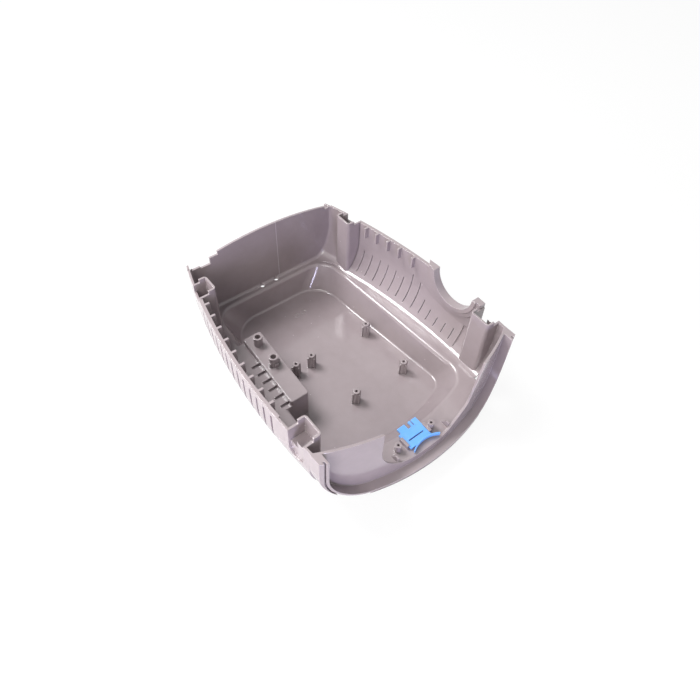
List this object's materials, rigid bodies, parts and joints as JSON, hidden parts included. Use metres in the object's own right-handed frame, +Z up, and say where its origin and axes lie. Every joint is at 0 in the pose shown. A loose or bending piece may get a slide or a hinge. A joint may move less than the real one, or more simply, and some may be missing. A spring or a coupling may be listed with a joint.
{
  "type": "injection moulded plastic housing",
  "caption": "Bow-sided moulded lower housing with a sunken basin, louvred sides, corner pockets, an arched rear wall, a U-shaped front opening and a sliding latch.",
  "frame": {"origin": "under the middle of the part, on the plane of the basin's underside", "axes": "+X from the rear wall to the front flange, +Y to the side with the round notch, +Z up"},
  "size_m": [0.2882, 0.2314, 0.1081],
  "materials": {
    "housing_plastic": "warm grey moulded ABS, satin to gloss",
    "latch_plastic": "light blue moulded acetal, satin"
  },
  "bodies": {
    "housing": {"housing": "housing_plastic"},
    "latch": {"latch": "latch_plastic"}
  },
  "joints": [
    {"name": "latch_slide", "type": "slide", "parent": "housing", "child": "latch", "axis": [1, 0, 0], "range_m": [0, 0.003], "stiffness_N_per_m": 600}
  ]
}
